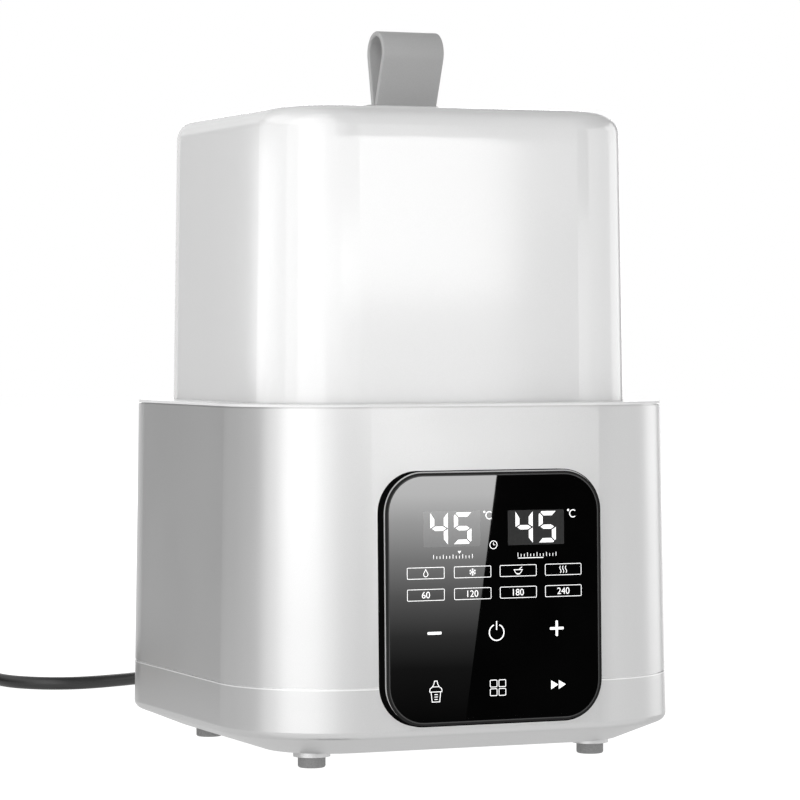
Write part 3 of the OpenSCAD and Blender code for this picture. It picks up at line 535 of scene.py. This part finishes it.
class Print:
    """Collects flat shapes and turns them into one thin raised mesh."""

    def __init__(self, low, thick=PRINT_T):
        self.bm = bmesh.new()
        self.low = low
        self.high = low + thick

    def fill(self, outline):
        area = sum(a[0] * b[1] - b[0] * a[1] for a, b in zip(outline, outline[1:] + outline[:1]))
        if area < 0:
            outline = outline[::-1]
        bottom = [self.bm.verts.new(on_panel(x, y, self.low)) for x, y in outline]
        top = [self.bm.verts.new(on_panel(x, y, self.high)) for x, y in outline]
        self.bm.faces.new(top)
        self.bm.faces.new(reversed(bottom))
        n = len(outline)
        for k in range(n):
            j = (k + 1) % n
            self.bm.faces.new((bottom[k], bottom[j], top[j], top[k]))

    def stroke(self, points, width, closed=False):
        """A line of even width, or a width at each point; each bend is mitred, and ends are square."""
        pts = [Vector(p) for p in points]
        n = len(pts)
        widths = width if isinstance(width, list) else [width] * n
        left, right = [], []
        for i, p in enumerate(pts):
            before = pts[i - 1] if i or closed else None
            after = pts[(i + 1) % n] if i < n - 1 or closed else None
            a = (p - before).normalized() if before is not None else None
            b = (after - p).normalized() if after is not None else None
            a, b = a or b, b or a
            normal = Vector((-a.y - b.y, a.x + b.x)).normalized()
            reach = widths[i] / 2 / max(0.35, normal.dot(Vector((-a.y, a.x))))
            left.append(p + normal * reach)
            right.append(p - normal * reach)
        low, high = self.low, self.high
        rows = [
            [self.bm.verts.new(on_panel(q.x, q.y, z)) for q, z in ((l, low), (r, low), (r, high), (l, high))]
            for l, r in zip(left, right)
        ]
        for a, b in zip(rows, rows[1:] + (rows[:1] if closed else [])):
            for k in range(4):
                j = (k + 1) % 4
                self.bm.faces.new((a[k], a[j], b[j], b[k]))
        if not closed:
            self.bm.faces.new(rows[0])
            self.bm.faces.new(reversed(rows[-1]))

    def text(self, words, x, y, height):
        """Figures in Blender's own plain face, centred on x, y."""
        curve = bpy.data.curves.new("figures", "FONT")
        curve.body = words
        curve.size = 1
        curve.extrude = 0.1
        holder = bpy.data.objects.new("figures", curve)
        scene.collection.objects.link(holder)
        flat = bpy.data.meshes.new_from_object(holder)
        xs = [v.co.x for v in flat.vertices]
        ys = [v.co.y for v in flat.vertices]
        scale = height / (max(ys) - min(ys))
        mid = Vector(((max(xs) + min(xs)) / 2, (max(ys) + min(ys)) / 2))
        for v in flat.vertices:
            z = self.high if v.co.z > 0 else self.low
            v.co = on_panel(x + (v.co.x - mid.x) * scale, y + (v.co.y - mid.y) * scale, z)
        figures = bmesh.new()
        figures.from_mesh(flat)
        bmesh.ops.remove_doubles(figures, verts=figures.verts, dist=1e-7)
        figures.to_mesh(flat)
        figures.free()
        self.bm.from_mesh(flat)
        bpy.data.objects.remove(holder)
        bpy.data.meshes.remove(flat)

    def piece(self, name, material, slot):
        mesh = bpy.data.meshes.new(name)
        bmesh.ops.dissolve_degenerate(self.bm, dist=1e-8, edges=self.bm.edges)
        bmesh.ops.recalc_face_normals(self.bm, faces=self.bm.faces)
        self.bm.to_mesh(mesh)
        self.bm.free()
        new_piece(name, mesh, material, "base")


def round_box(x0, y0, x1, y1, r, steps=4):
    points = []
    left, right, low, high = x0 + r, x1 - r, y0 + r, y1 - r
    for cx, cy, start in ((right, high, 0), (left, high, 90), (left, low, 180), (right, low, 270)):
        for k in range(steps + 1):
            a = math.radians(start + 90 * k / steps)
            points.append((cx + r * math.cos(a), cy + r * math.sin(a)))
    return points


def arc(cx, cy, r, start, end, steps=28):
    return [
        (cx + r * math.cos(math.radians(start + (end - start) * k / steps)),
         cy + r * math.sin(math.radians(start + (end - start) * k / steps)))
        for k in range(steps + 1)
    ]


SEGMENTS = {"4": "bcfg", "5": "aFgCd"}


def seven_segment(prints, digit, x0, y0, w, h, t=1.55, gap=0.34, cut=0.75):
    """A lit figure of bars with pointed ends; where two bars meet at a corner, the corner is cut (F, C)."""
    mid = y0 + h / 2
    x1, y1 = x0 + w, y0 + h
    half, g, c = t / 2, gap, cut
    tip = 1.25
    bars = {
        "a": [(x0 + c + g, y1), (x1, y1), (x1 - t, y1 - t), (x0 + t + g, y1 - t),
              (x0 + c / 2 + g, y1 - c / 2)],
        "d": [(x0, y0), (x0 + t, y0 + t), (x1 - t - g, y0 + t), (x1 - c / 2 - g, y0 + c / 2),
              (x1 - c - g, y0)],
        "f": [(x0, y1), (x0 + t, y1 - 1.5 * t), (x0 + t, mid + half + g), (x0, mid + g / 2)],
        "F": [(x0, y1 - c - g), (x0 + c / 2, y1 - c / 2 - g), (x0 + t, y1 - t - g), (x0 + t, mid + half + g),
              (x0, mid + g / 2)],
        "b": [(x1, y1), (x1, mid + g / 2), (x1 - t, mid + half + g), (x1 - t, y1 - 1.2 * t)],
        "c": [(x1, y0), (x1 - t, y0 + 1.2 * t), (x1 - t, mid - half - g), (x1, mid - g / 2)],
        "C": [(x1, y0 + c + g), (x1 - c / 2, y0 + c / 2 + g), (x1 - t, y0 + t + g), (x1 - t, mid - half - g),
              (x1, mid - g / 2)],
        "g": [(x0 + 2 * g, mid), (x0 + tip + 2 * g, mid + half), (x1 - tip - 2 * g, mid + half),
              (x1 - 2 * g, mid), (x1 - tip - 2 * g, mid - half), (x0 + tip + 2 * g, mid - half)],
    }
    for bar in SEGMENTS[digit]:
        prints.fill(bars[bar])


def drop_icon(prints, x, y):
    line = [(x, y + 1.35)] + arc(x, y - 0.38, 0.85, 28, -208, 20)
    prints.stroke(line, 0.24, closed=True)


def snowflake_icon(prints, x, y):
    for k in range(3):
        a = math.radians(90 + 60 * k)
        dx, dy = 1.3 * math.cos(a), 1.3 * math.sin(a)
        prints.stroke([(x - dx, y - dy), (x + dx, y + dy)], 0.22)
        for sign in (-1, 1):
            for side in (-1, 1):
                b = a + math.radians(45) * side
                fork = (x + sign * dx * 0.58, y + sign * dy * 0.58)
                tip = (fork[0] + sign * 0.5 * math.cos(b), fork[1] + sign * 0.5 * math.sin(b))
                prints.stroke([fork, tip], 0.18)


def bowl_icon(prints, x, y):
    prints.stroke([(x - 1.8, y + 0.35), (x + 1.8, y + 0.35)], 0.26)
    prints.stroke(arc(x, y + 0.35, 1.45, 180, 360, 18), 0.24)
    prints.stroke([(x - 0.6, y - 1.25), (x + 0.6, y - 1.25)], 0.22)
    prints.stroke([(x + 0.4, y + 0.5), (x + 1.5, y + 1.35)], 0.24)


def steam_icon(prints, x, y):
    for dx in (-1.1, 0, 1.1):
        wave = [(x + dx + 0.26 * math.sin(k / 12 * 2 * math.pi), y - 1.25 + 2.5 * k / 12) for k in range(13)]
        prints.stroke(wave, 0.25)


def scale_icon(prints, x, y, pointer):
    """A short graduated scale with a pointer above it, or a filled bar below."""
    for k in range(-6, 7):
        top = 0.55 if k % 3 == 0 else 0.1
        prints.stroke([(x + 1.25 * k, y - 0.9), (x + 1.25 * k, y + top)], 0.22)
    if pointer:
        prints.fill([(x + 2.5 - 0.7, y + 1.75), (x + 2.5 + 0.7, y + 1.75), (x + 2.5, y + 0.75)])
    else:
        prints.stroke([(x - 7.5, y - 1.35), (x + 2.5, y - 1.35)], 0.28)


def degree_icon(prints, x, y):
    prints.fill(arc(x - 1.4, y + 1.2, 0.42, 0, 360, 14)[:-1])
    prints.stroke(arc(x + 0.5, y - 0.05, 1.3, 48, 312, 22), 0.34)


def clock_icon(prints, x, y):
    prints.stroke(arc(x, y, 1.4, 0, 360, 28)[:-1], 0.25, closed=True)
    prints.stroke([(x, y + 0.85), (x, y), (x + 0.65, y)], 0.22)


def power_icon(prints, x, y):
    prints.stroke(arc(x, y, 2.85, 112, 428, 44), 0.42)
    prints.stroke([(x, y + 0.9), (x, y + 4.05)], 0.42)


def bottle_icon(prints, x, y):
    line = 0.27
    body = [(x - 1.85, y - 0.45), (x - 1.45, y - 4.0), (x + 1.45, y - 4.0), (x + 1.85, y - 0.45)]
    prints.stroke(body, line)
    prints.stroke([(x - 2.4, y - 0.45), (x + 2.4, y - 0.45)], line)
    prints.stroke([(x - 2.4, y - 0.3), (x - 2.2, y + 0.7), (x - 1.3, y + 1.35), (x - 0.75, y + 2.3),
                   (x - 0.5, y + 3.4), (x + 0.5, y + 3.4), (x + 0.75, y + 2.3), (x + 1.3, y + 1.35),
                   (x + 2.2, y + 0.7), (x + 2.4, y - 0.3)], line)
    prints.stroke([(x - 1.3, y + 1.35), (x + 1.3, y + 1.35)], 0.24)
    for k in range(3):
        prints.stroke([(x - 0.55, y - 1.4 - 0.85 * k), (x + 0.75, y - 1.4 - 0.85 * k)], 0.26)


def grid_icon(prints, x, y):
    for dx in (-1.7, 1.7):
        for dy in (-1.55, 1.55):
            prints.stroke(round_box(x + dx - 1.32, y + dy - 1.22, x + dx + 1.32, y + dy + 1.22, 0.35),
                          0.25, closed=True)


def plus_icon(prints, x, y, half_w, half_h, half_t, r):
    """A plus sign with rounded ends, as one outline."""
    arms = ((half_w, 0), (half_h, 90), (half_w, 180), (half_h, 270))
    outline = []
    for reach, turn in arms:
        a = math.radians(turn)
        ahead, aside = Vector((math.cos(a), math.sin(a))), Vector((-math.sin(a), math.cos(a)))
        end = [
            (reach - r + px, py + math.copysign(half_t - r, py))
            for px, py in arc(0, 0, r, -90, -1, 4) + arc(0, 0, r, 1, 90, 4)
        ]
        for u, v in end + [(half_t, half_t)]:
            q = ahead * u + aside * v
            outline.append((x + q.x, y + q.y))
    prints.fill(outline)


def forward_icon(prints, x, y):
    for dx in (-2.6, 0.4):
        prints.fill([(x + dx, y + 1.6), (x + dx, y - 1.6), (x + dx + 2.8, y)])


def make_windows():
    windows = Print(GLASS_FACE)
    for x0, y0, x1, y1 in ((-27.2, 18.3, -5.1, 30.9), (5.6, 18.3, 27.7, 30.7)):
        windows.fill(round_box(x0, y0, x1, y1, 0.4))
    windows.piece("display_windows", WINDOW, "display_grey")


def make_glass_rims():
    """The glass's own black out to its edge, and the grey line of the edge."""
    x0, y0, x1, y1 = GLASS_SHOWN
    for name, material, thick, inset, width in (
        ("glass_border", GLASS, 0.006, 0.72, 1.1),
        ("glass_edge", GLASS_EDGE, 0.008, 0.0, 0.4),
    ):
        line = round_box(x0 + inset, y0 + inset, x1 - inset, y1 - inset, GLASS_CORNER - inset, 12)
        rim = Print(GLASS_FACE, thick)
        rim.stroke(line, width, closed=True)
        rim.piece(name, material, "panel_glass")


def make_bezel_painted_highlight():
    """Painted highlight: a bright line near the bezel's outer edge, from its lower left corner over the top
    to the right, tapering at both ends.
    """
    inset, steps, width, fade = 0.48, 16, 0.44, 7
    x, y = BEZEL_HALF[0] - inset, BEZEL_HALF[1] - inset
    line = round_box(-x, -y, x, y, BEZEL_CORNER - inset, steps)[steps // 2:-steps - 1 - steps // 2]
    last = len(line) - 1
    taper = [max(0.05, width * min(1, i / fade, (last - i) / fade)) for i in range(len(line))]
    highlight_strip = Print(GLASS_FACE, 0.004)
    highlight_strip.stroke(line, taper)
    highlight_strip.piece("bezel_painted_highlight_line", BEZEL_PAINTED_HIGHLIGHT, "panel_glass")


def make_prints():
    """Digits, key frames with pictograms and volumes, and the six touch keys, all in a white that glows:
    painted light on the printed marks, and the lit display in the digits.
    """
    prints = Print(GLASS_FACE + PRINT_T)
    for x0, y0 in ((-24.5, 19.2), (8.6, 19.0)):
        seven_segment(prints, "4", x0, y0, 6.75, 11.2)
        seven_segment(prints, "5", x0 + 9.15, y0, 6.7, 11.2)
    degree_icon(prints, -2.15, 29.2)
    degree_icon(prints, 30.8, 29.2)
    clock_icon(prints, -0.1, 18.6)
    scale_icon(prints, -15.85, 15.0, True)
    scale_icon(prints, 16.95, 15.0, False)
    columns = (-26.4, -8.3, 9.5, 27.25)
    for x, icon in zip(columns, (drop_icon, snowflake_icon, bowl_icon, steam_icon)):
        prints.stroke(round_box(x - 7.1, 7.2, x + 7.1, 11.15, 0.4), 0.22, closed=True)
        icon(prints, x, 9.15)
    for x, volume in zip(columns, ("60", "120", "180", "240")):
        prints.stroke(round_box(x - 7.1, -0.5, x + 7.1, 3.45, 0.4), 0.22, closed=True)
        prints.text(volume, x, 1.48, 2.35)
    prints.fill(round_box(-25.95, -12.6, -20.5, -11.6, 0.35))
    power_icon(prints, 0.85, -12.6)
    plus_icon(prints, 24.5, -11.91, 2.75, 2.8, 0.475, 0.35)
    bottle_icon(prints, -22.9, -32.4)
    grid_icon(prints, 1.2, -32.3)
    forward_icon(prints, 24.7, -32.1)
    prints.piece("panel_print", PRINT_PAINTED_GLOW, "panel_glass")


make_windows()
make_glass_rims()
make_bezel_painted_highlight()
make_prints()


# Seam line: the lower shell's lip in a lighter copy of the silver paint as a painted highlight, with a
# shallow shaded step above it

SEAM_RUN, SEAM_R, SEAM_END = 44.5, 42.267, 40.5
SEAM_PROFILE = [(0.04, 30.12), (0.04, 30.6), (-0.7, 30.64), (-0.7, 30.94), (-0.9, 30.94), (-0.9, 30.12)]


def seam_outline(grow):
    """Round the body from the bezel's right side to its left side."""
    half, steps = SEAM_RUN + SEAM_R + grow, 24
    corners = round_box(-half, -half, half, half, SEAM_R + grow, steps)
    front = 3 * (steps + 1)
    return [(SEAM_END, -half)] + corners[front:] + corners[:front] + [(-SEAM_END, -half)]


def make_seam():
    mesh = bpy.data.meshes.new("seam_line")
    bm = bmesh.new()
    loops = [
        [bm.verts.new((x * MM, y * MM, z * MM)) for x, y in seam_outline(grow)]
        for grow, z in SEAM_PROFILE
    ]
    for a, b in zip(loops, loops[1:] + loops[:1]):
        for k in range(len(a) - 1):
            bm.faces.new((a[k], a[k + 1], b[k + 1], b[k]))
    for end in (0, -1):
        bm.faces.new([loop[end] for loop in loops])
    bmesh.ops.recalc_face_normals(bm, faces=bm.faces)
    bm.to_mesh(mesh)
    bm.free()
    new_piece("seam_line", mesh, SEAM_PAINTED_HIGHLIGHT, "base")


make_seam()


# The photograph shows no shade or mirror image of the panel on the body beside it

for name in ("panel_bezel", "panel_glass", "glass_border", "glass_edge", "bezel_painted_highlight_line", "display_windows",
             "panel_print"):
    piece = bpy.data.objects[name]
    piece.visible_glossy = False
    piece.visible_diffuse = False


# Studio: pale floor, white behind, and a dome of glowing cards that the camera doesn't see

FLOOR_HALF = 8
DOME_AT = Vector((0, 0, 0.12))
DOME_R, FILL_R = 2.4, 2.2
# The most degrees that one facet of a card spans
CARD_STEP = 12
# Azimuth from +X and elevation, each from and to, in degrees, and radiance
DOME = [
    (0, 30, -8, 28, 1.53),
    (30, 42, -8, 28, 0.30),
    (42, 50, -8, 28, 1.60),
    (50, 60, -8, 28, 1.50),
    (60, 75, -8, 28, 3.00),
    (75, 90, -8, 28, 0.80),
    (90, 104, -8, 28, 0.72),
    (104, 116, -8, 28, 0.20),
    (116, 130, -8, 28, 0.45),
    (130, 150, -8, 28, 0.42),
    (150, 180, -8, 28, 0.48),
    (180, 200, -8, 28, 1.16),
    (200, 220, -8, 28, 2.00),
    (220, 240, -8, 28, 1.98),
    (315, 335, -8, 28, 0.96),
    (335, 360, -8, 28, 0.91),
    (240, 262, 0, 1.8, 0.96),
    (240, 262, 1.8, 3.4, 1.54),
    (240, 262, 3.4, 5.2, 2.25),
    (262, 294.3, 0, 1.8, 1.53),
    (262, 294.3, 1.8, 3.4, 1.13),
    (262, 294.3, 3.4, 5.2, 3.10),
    (240, 255, -8, 0, 1.48),
    (255, 270, -8, 0, 0.75),
    (270, 285, -8, 0, 0.50),
    (240, 255, 5.2, 14, 1.65),
    (255, 270, 5.2, 14, 1.68),
    (270, 285, 5.2, 14, 1.91),
    (285, 294.3, 5.2, 14, 3.02),
    (240, 255, 14, 28, 1.34),
    (255, 270, 14, 28, 0.52),
    (285, 294.3, 14, 28, 0.90),
    (300, 315, -8, 5.2, 1.17),
    (294.3, 300, 5.2, 28, 0.30),
    (300, 315, 5.2, 28, 0.02),
    (0, 60, 28, 55, 0.36),
    (60, 120, 28, 55, 0.60),
    (120, 180, 28, 55, 1.17),
    (180, 225, 28, 55, 2.00),
    (225, 255, 28, 55, 1.33),
    (285, 315, 28, 55, 0.36),
    (315, 360, 28, 55, 0.16),
    (0, 90, 55, 80, 0.20),
    (90, 180, 55, 80, 0.49),
    (180, 240, 55, 80, 1.18),
    (300, 360, 55, 80, 0.39),
    (0, 360, 80, 89.9, 0.03),
    (0, 180, -80, -8, 0.68),
    (180, 360, -80, -8, 0.88),
]


def stage_mesh(name, points, faces, material):
    mesh = bpy.data.meshes.new(name)
    mesh.from_pydata([tuple(p) for p in points], [], faces)
    mesh.materials.append(material)
    card = bpy.data.objects.new(name, mesh)
    scene.collection.objects.link(card)
    return card


def on_dome(azimuth, elevation, radius):
    a, e = math.radians(azimuth), math.radians(elevation)
    return DOME_AT + Vector((math.cos(a) * math.cos(e), math.sin(a) * math.cos(e), math.sin(e))) * radius


def dome_card(a0, a1, e0, e1, strength, radius=DOME_R):
    across = max(2, math.ceil((a1 - a0) / CARD_STEP))
    high = max(2, math.ceil((e1 - e0) / CARD_STEP))
    points = [
        on_dome(a0 + (a1 - a0) * i / across, e0 + (e1 - e0) * j / high, radius)
        for i in range(across + 1) for j in range(high + 1)
    ]
    row = high + 1
    faces = [
        (i * row + j, i * row + j + 1, (i + 1) * row + j + 1, (i + 1) * row + j)
        for i in range(across) for j in range(high)
    ]
    name = "card_%g_%g" % (a0, e0)
    card = stage_mesh(name, points, faces, glow(name, strength))
    card.visible_camera = False
    return card


def make_floor():
    finish = surface(
        "pale_floor", grey(0.22), 0.8, tone=0.01, gloss=0.03, grain=400, Specular_IOR_Level=0.0,
        Emission_Color=(1, 1, 1, 1), Emission_Strength=1.0,
    )
    corners = [(x * FLOOR_HALF, y * FLOOR_HALF, 0) for x, y in ((-1, -1), (1, -1), (1, 1), (-1, 1))]
    floor = stage_mesh("floor", corners, [(0, 1, 2, 3)], finish)
    floor.visible_glossy = False
    floor.visible_diffuse = False
    floor.visible_transmission = False
    floor.visible_shadow = False


make_floor()
for row in DOME:
    dome_card(*row)


# What the glass mirrors: a black flag with a bright slanted strip before it

FLAG_AT = Vector((0.45107, -1.09367, 0.01717))
FLAG_RIGHT = Vector((-0.91190, -0.41040, 0))
FLAG_UP = Vector((0.01672, -0.03715, 0.99917))


def on_flag(u, v, nearer=0.0):
    away = FLAG_UP.cross(FLAG_RIGHT)
    return FLAG_AT + FLAG_RIGHT * u + FLAG_UP * v - away * nearer


def make_flag():
    corners = [on_flag(u, v) for u, v in ((-0.09, -0.1), (0.09, -0.1), (0.09, 0.1), (-0.09, 0.1))]
    finish = surface("flag_black", grey(0.001), 0.9, tone=0.1, Specular_IOR_Level=0.0)
    flag = stage_mesh("black_flag", corners, [(0, 1, 2, 3)], finish)
    flag.visible_camera = False


def make_glass_card():
    """Slanted strip with a vertical fade, a little nearer than the black flag."""
    corners = [(0.09, -0.0887), (0.0212, -0.0887), (-0.0037, 0.0862), (0.09, 0.0862)]
    stops = [
        (0.0, grey(0.0)), (0.24, grey(0.011)), (0.36, grey(0.047)), (0.51, grey(0.16)), (0.65, grey(0.34)),
        (0.80, grey(0.63)), (0.90, grey(0.93)), (1.0, grey(1.0)),
    ]
    points = [on_flag(u, v, 0.004) for u, v in corners]
    card = stage_mesh("glass_card", points, [(0, 1, 2, 3)], glow("glass_card_glow", 12.5, stops))
    card.visible_camera = False


make_flag()
make_glass_card()


def light_only(card, name):
    """Keeps a card's light to one node."""
    reached = bpy.data.collections.new(card.name + "_reach")
    reached.objects.link(nodes[name])
    card.light_linking.receiver_collection = reached


def make_accents():
    """A strip beside the cover's corner, where its plastic glows, and a fill behind the object."""
    beside = [(-0.0861, -0.0470), (-0.0861, -0.0370)]
    points = [(x, y, z) for x, y in beside for z in (0.133, 0.229)]
    strip = stage_mesh("corner_strip", points, [(0, 1, 3, 2)], glow("corner_strip_glow", 2.2))
    strip.visible_camera = False
    strip.visible_glossy = False
    light_only(strip, "cover")

    # With the fill, the cover reads as white from the rear too
    fill = dome_card(42, 92, -5, 30, 2.4, FILL_R)
    fill.visible_glossy = False
    fill.visible_shadow = False


make_accents()


def make_world():
    """White behind the object for the camera alone; the dome lights the object."""
    world = bpy.data.worlds.new("studio")
    scene.world = world
    world.use_nodes = True
    tree = world.node_tree
    tree.nodes.clear()
    out = tree.nodes.new("ShaderNodeOutputWorld")
    around = tree.nodes.new("ShaderNodeBackground")
    around.inputs["Color"].default_value = (0, 0, 0, 1)
    behind = tree.nodes.new("ShaderNodeBackground")
    behind.inputs["Color"].default_value = (1, 1, 1, 1)
    mix = tree.nodes.new("ShaderNodeMixShader")
    path = tree.nodes.new("ShaderNodeLightPath")
    tree.links.new(path.outputs["Is Camera Ray"], mix.inputs["Fac"])
    tree.links.new(around.outputs["Background"], mix.inputs[1])
    tree.links.new(behind.outputs["Background"], mix.inputs[2])
    tree.links.new(mix.outputs["Shader"], out.inputs["Surface"])


make_world()
scene.view_settings.view_transform = "Standard"

bpy.context.view_layer.update()
